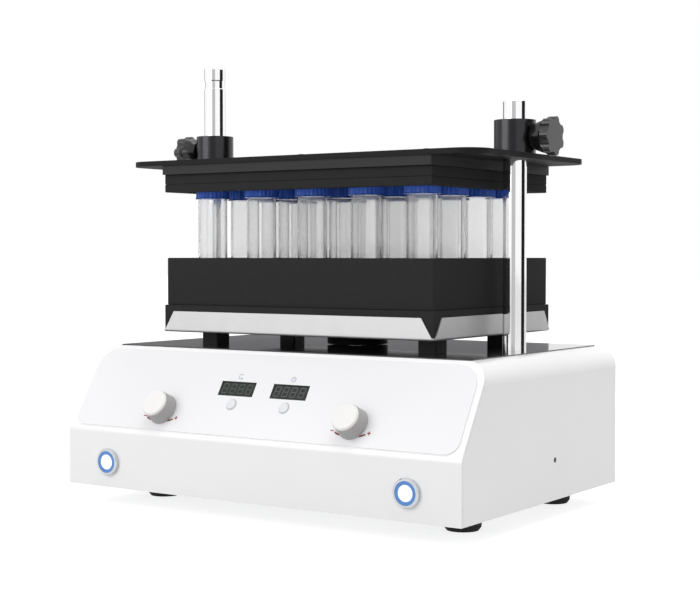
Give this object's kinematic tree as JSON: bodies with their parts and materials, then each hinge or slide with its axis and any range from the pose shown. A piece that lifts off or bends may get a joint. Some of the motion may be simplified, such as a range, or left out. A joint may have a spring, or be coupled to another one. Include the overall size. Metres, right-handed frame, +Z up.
{
  "type": "multi-tube vortex mixer",
  "caption": "Benchtop vortex mixer: sloped housing with dials and displays, an orbiting tray with a foam rack of capped tubes, and a pressure plate clamped on guide rods.",
  "frame": {"origin": "centre of the housing's footprint, on the bench under the rubber feet", "axes": "+Z up along the guide rods, +X to the operator's right, -Y towards the operator"},
  "size_m": [0.45, 0.3197, 0.4494],
  "materials": {
    "white_enamel": "gloss",
    "charcoal_enamel": "satin",
    "zinc_steel": "satin",
    "tray_steel": "satin",
    "chromed_steel": "polished",
    "screw_steel": "satin",
    "bare_aluminium": "satin",
    "black_aluminium": "satin",
    "motor_iron": "satin",
    "bearing_steel": "polished",
    "dark_collar_steel": "satin",
    "black_plastic": "matte",
    "grey_plastic": "matte",
    "white_film": "gloss",
    "ivory_plastic": "matte",
    "white_button": "gloss",
    "display_smoke": "gloss",
    "board_green": "matte",
    "blue_light_ring": "gloss",
    "bezel_chrome": "polished",
    "foam_black": "closed-cell foam",
    "tube_polypropylene": "translucent",
    "cap_blue": "satin",
    "foot_rubber": "matte"
  },
  "bodies": {
    "base": {"top_cover": "white_enamel", "front_panel": "white_enamel", "rear_panel": "white_enamel", "base_plate": "zinc_steel", "deck_panel": "charcoal_enamel", "control_overlay": "white_film", "rubber_feet": "foot_rubber", "foot_screws": "screw_steel", "base_screws": "screw_steel", "side_screws": "screw_steel", "chassis_plate": "bare_aluminium", "side_brackets": "zinc_steel", "left_rod": "chromed_steel", "right_rod": "chromed_steel", "rod_nuts": "screw_steel", "glide_posts": "black_plastic", "drive_motor": "motor_iron", "motor_standoffs": "zinc_steel", "bearing_housing": "bare_aluminium", "main_bearing": "bearing_steel", "control_board": "board_green", "display_lenses": "display_smoke", "display_modules": "grey_plastic", "encoders": "zinc_steel", "button_switches": "grey_plastic", "switch_bodies": "bezel_chrome", "switch_lights": "blue_light_ring", "switch_nuts": "black_plastic", "mains_inlet": "black_plastic", "power_supply": "black_plastic"},
    "drive": {"drive_shaft": "bearing_steel", "motor_shaft": "bearing_steel", "shaft_coupling": "bare_aluminium", "counterweight": "zinc_steel"},
    "tray": {"drive_hub": "black_aluminium", "tray_bearing": "bearing_steel", "tray_pan": "tray_steel", "foam_base": "foam_black", "foam_rack": "foam_black", "front_tubes": "tube_polypropylene", "front_caps": "cap_blue", "rear_tubes": "tube_polypropylene", "rear_caps": "cap_blue"},
    "pressure_plate": {"foam_pad": "foam_black", "pad_frame": "black_plastic", "top_plate": "black_aluminium", "plate_screws": "screw_steel", "rod_collars": "dark_collar_steel"},
    "left_clamp": {"left_clamp": "black_plastic"},
    "right_clamp": {"right_clamp": "black_plastic"},
    "left_dial": {"left_dial": "ivory_plastic", "left_dial_shaft": "bearing_steel"},
    "right_dial": {"right_dial": "ivory_plastic", "right_dial_shaft": "bearing_steel"},
    "left_button": {"left_button": "white_button"},
    "right_button": {"right_button": "white_button"},
    "left_switch": {"left_switch_button": "white_button"},
    "right_switch": {"right_switch_button": "white_button"}
  },
  "joints": [
    {"name": "drive_spin", "type": "hinge", "parent": "base", "child": "drive", "pos_m": [0, 0.0245, 0.1], "axis": [0, 0, 1], "continuous": true},
    {"name": "tray_orbit", "type": "hinge", "parent": "drive", "child": "tray", "pos_m": [0, 0.0265, 0.16], "axis": [0, 0, 1], "continuous": true},
    {"name": "plate_slide", "type": "slide", "parent": "base", "child": "pressure_plate", "axis": [0, 0, 1], "range_m": [0, 0.04]},
    {"name": "left_clamp_turn", "type": "hinge", "parent": "pressure_plate", "child": "left_clamp", "pos_m": [-0.181, 0.0215, 0.357], "axis": [-1, 0, 0], "range_deg": [0, 360]},
    {"name": "right_clamp_turn", "type": "hinge", "parent": "pressure_plate", "child": "right_clamp", "pos_m": [0.181, 0.0215, 0.357], "axis": [1, 0, 0], "range_deg": [0, 360]},
    {"name": "left_dial_turn", "type": "hinge", "parent": "base", "child": "left_dial", "pos_m": [-0.1128, -0.14142, 0.09737], "axis": [0, -0.8528, 0.5223], "continuous": true},
    {"name": "right_dial_turn", "type": "hinge", "parent": "base", "child": "right_dial", "pos_m": [0.1076, -0.14142, 0.09737], "axis": [0, -0.8528, 0.5223], "continuous": true},
    {"name": "left_button_press", "type": "slide", "parent": "base", "child": "left_button", "axis": [0, 0.8528, -0.5223], "range_m": [0, 0.0008], "stiffness_N_per_m": 800},
    {"name": "right_button_press", "type": "slide", "parent": "base", "child": "right_button", "axis": [0, 0.8528, -0.5223], "range_m": [0, 0.0008], "stiffness_N_per_m": 800},
    {"name": "left_switch_press", "type": "slide", "parent": "base", "child": "left_switch", "axis": [0, 1, 0], "range_m": [0, 0.0018], "stiffness_N_per_m": 600},
    {"name": "right_switch_press", "type": "slide", "parent": "base", "child": "right_switch", "axis": [0, 1, 0], "range_m": [0, 0.0018], "stiffness_N_per_m": 600}
  ],
  "couplings": [
    {"joint": "tray_orbit", "follows": "drive_spin", "ratio": -1}
  ]
}
